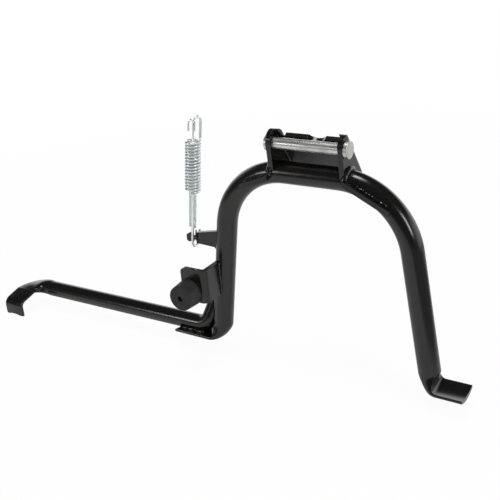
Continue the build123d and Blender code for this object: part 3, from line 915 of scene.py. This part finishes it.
def lay_floor(studio, mirror):
    """Round sheet of white paper under the stand that fades to plain white, dark in places to gloss."""
    height = cad_box[0][2] - studio.floor_gap
    bpy.ops.mesh.primitive_circle_add(vertices=FLOOR_CORNERS, radius=studio.floor_radius, fill_type="NGON")
    floor = bpy.context.object
    floor.name = "floor_paper"
    floor.data.transform(Matrix.Translation((0, 0, height)))
    finish = Finish(bpy.data.materials.new("white_paper"))
    coordinates = finish.make("ShaderNodeTexCoord")
    far = finish.make(
        "ShaderNodeVectorMath", {"operation": "LENGTH"}, {0: coordinates.outputs["Object"]}
    )
    fade_end = studio.fade_end * studio.floor_radius
    fade = Level(finish, far.outputs["Value"]).rise(studio.fade_start, fade_end)
    fibre = finish.noise(**PAPER_FIBRE)
    rays = finish.make("ShaderNodeLightPath")
    seen = Level(finish, rays.outputs["Is Camera Ray"])
    pale = (studio.paper,) * 3
    dim = (studio.paper * studio.fibre,) * 3
    paper = finish.make(
        "ShaderNodeBsdfPrincipled",
        None,
        {
            "Base Color": finish.mix(fibre, pale, dim),
            "Roughness": studio.paper_roughness,
            "Specular IOR Level": studio.paper_shine,
        },
    )
    white = finish.make("ShaderNodeEmission", None, {"Color": (1.0, 1.0, 1.0), "Strength": 1.0})
    lit = seen * (studio.self_lit + fade * (1.0 - studio.self_lit))
    blend = finish.make(
        "ShaderNodeMixShader", None, {0: lit, 1: paper.outputs["BSDF"], 2: white.outputs["Emission"]}
    )
    across = finish.make("ShaderNodeSeparateXYZ", None, {0: coordinates.outputs["Object"]})
    beside = Level(finish, across.outputs["X"]).rise(*mirror.right)
    near = 1.0 - Level(finish, across.outputs["Y"]).rise(*mirror.right_back)
    before = 1.0 - Level(finish, across.outputs["Y"]).rise(*mirror.front)
    mirrored = Level(finish, rays.outputs["Is Glossy Ray"])
    dark = finish.make("ShaderNodeEmission", None, {"Color": (mirror.grey,) * 3, "Strength": 1.0})
    covered = mirrored * (beside * near).at_least(before) * mirror.cover
    flagged = finish.make(
        "ShaderNodeMixShader", None, {0: covered, 1: blend.outputs["Shader"], 2: dark.outputs["Emission"]}
    )
    finish.make("ShaderNodeOutputMaterial", None, {"Surface": flagged.outputs["Shader"]})
    floor.data.materials.append(finish.holder)


def light_world(studio, mirror):
    """White to the camera, a white sweep in a dark room to gloss, even ambient light elsewhere."""
    world = bpy.data.worlds.new("studio_world")
    bpy.context.scene.world = world
    finish = Finish(world)
    coordinates = finish.make("ShaderNodeTexCoord")
    parts = finish.make("ShaderNodeSeparateXYZ", None, {0: coordinates.outputs["Generated"]})
    height = Level(finish, parts.outputs["Z"])
    behind = Level(finish, parts.outputs["Y"])
    rays = finish.make("ShaderNodeLightPath")
    camera = Level(finish, rays.outputs["Is Camera Ray"])
    through = Level(finish, rays.outputs["Is Transmission Ray"])
    mirrored = Level(finish, rays.outputs["Is Glossy Ray"])
    sweep = behind.rise(*mirror.sweep_side) * (1.0 - height.rise(*mirror.sweep_top))
    room = mirror.sweep * sweep + mirror.room
    plain = (camera + through).at_most(1.0)
    strength = plain + (1.0 - plain) * (mirrored * room + (1.0 - mirrored) * studio.ambient)
    background = finish.make(
        "ShaderNodeBackground", None, {"Color": (1.0, 1.0, 1.0), "Strength": strength}
    )
    finish.make("ShaderNodeOutputWorld", None, {"Surface": background.outputs["Background"]})


def hang_lamps():
    """Soft boxes over, beside and before the stand."""
    for name, box in LAMPS.items():
        bpy.ops.object.light_add(type="AREA", location=box["place"])
        lamp = bpy.context.object
        lamp.name = name
        lamp.data.shape = "RECTANGLE"
        lamp.data.size = box["width"]
        lamp.data.size_y = box["height"]
        lamp.data.energy = box["watts"]
        aim = Vector(box["target"]) - Vector(box["place"])
        lamp.rotation_euler = aim.to_track_quat("-Z", "Y").to_euler()


def set_camera(studio):
    """Camera at the catalogue view."""
    level = math.cos(studio.elevation)
    ahead = math.cos(studio.azimuth)
    aside = math.sin(studio.azimuth)
    view = Vector((-aside * level, ahead * level, -math.sin(studio.elevation)))
    right = Vector((ahead, aside, 0.0))
    above = right.cross(view)
    across = right * math.cos(studio.roll) + above * math.sin(studio.roll)
    upward = above * math.cos(studio.roll) - right * math.sin(studio.roll)
    bpy.ops.object.camera_add()
    camera = bpy.context.object
    camera.name = "catalogue_camera"
    place = Matrix.Translation((studio.camera_x, studio.camera_y, studio.camera_z))
    turn = Matrix((across, upward, -view)).transposed().to_4x4()
    camera.matrix_world = place @ turn
    camera.data.sensor_width = SENSOR_WIDTH
    camera.data.lens = studio.lens
    camera.data.clip_start = VIEW_NEAR
    camera.data.clip_end = VIEW_FAR
    bpy.context.scene.camera = camera


OPERATORS = (
    STAND_OT_paint_frame,
    STAND_OT_bend_arch,
    STAND_OT_lay_welds,
    STAND_OT_plate_pin,
    STAND_OT_wind_springs,
    STAND_OT_dress_buffer,
    STAND_OT_set_studio,
)


class STAND_PT_dresser(bpy.types.Panel):
    """Steps that dress the stand, in the sidebar"""

    bl_idname = "STAND_PT_dresser"
    bl_label = "Centre stand"
    bl_space_type = "VIEW_3D"
    bl_region_type = "UI"
    bl_category = "Centre stand"

    def draw(self, context):
        for operator in OPERATORS:
            self.layout.operator(operator.bl_idname)


def register():
    """Register the settings, the operators and the panel."""
    for name, group in SETTINGS:
        bpy.utils.register_class(group)
        setattr(bpy.types.Scene, f"stand_{name}", PointerProperty(type=group))
    for operator in OPERATORS:
        bpy.utils.register_class(operator)
    bpy.utils.register_class(STAND_PT_dresser)


def unregister():
    """Take the panel, the operators and the settings away again."""
    bpy.utils.unregister_class(STAND_PT_dresser)
    for operator in reversed(OPERATORS):
        bpy.utils.unregister_class(operator)
    for name, group in reversed(SETTINGS):
        delattr(bpy.types.Scene, f"stand_{name}")
        bpy.utils.unregister_class(group)


def main():
    """Dress the stand step by step."""
    register()
    bpy.ops.stand.paint_frame()
    bpy.ops.stand.bend_arch()
    bpy.ops.stand.lay_welds()
    bpy.ops.stand.plate_pin()
    bpy.ops.stand.wind_springs()
    bpy.ops.stand.dress_buffer()
    bpy.ops.stand.set_studio()


if __name__ == "__main__":
    main()
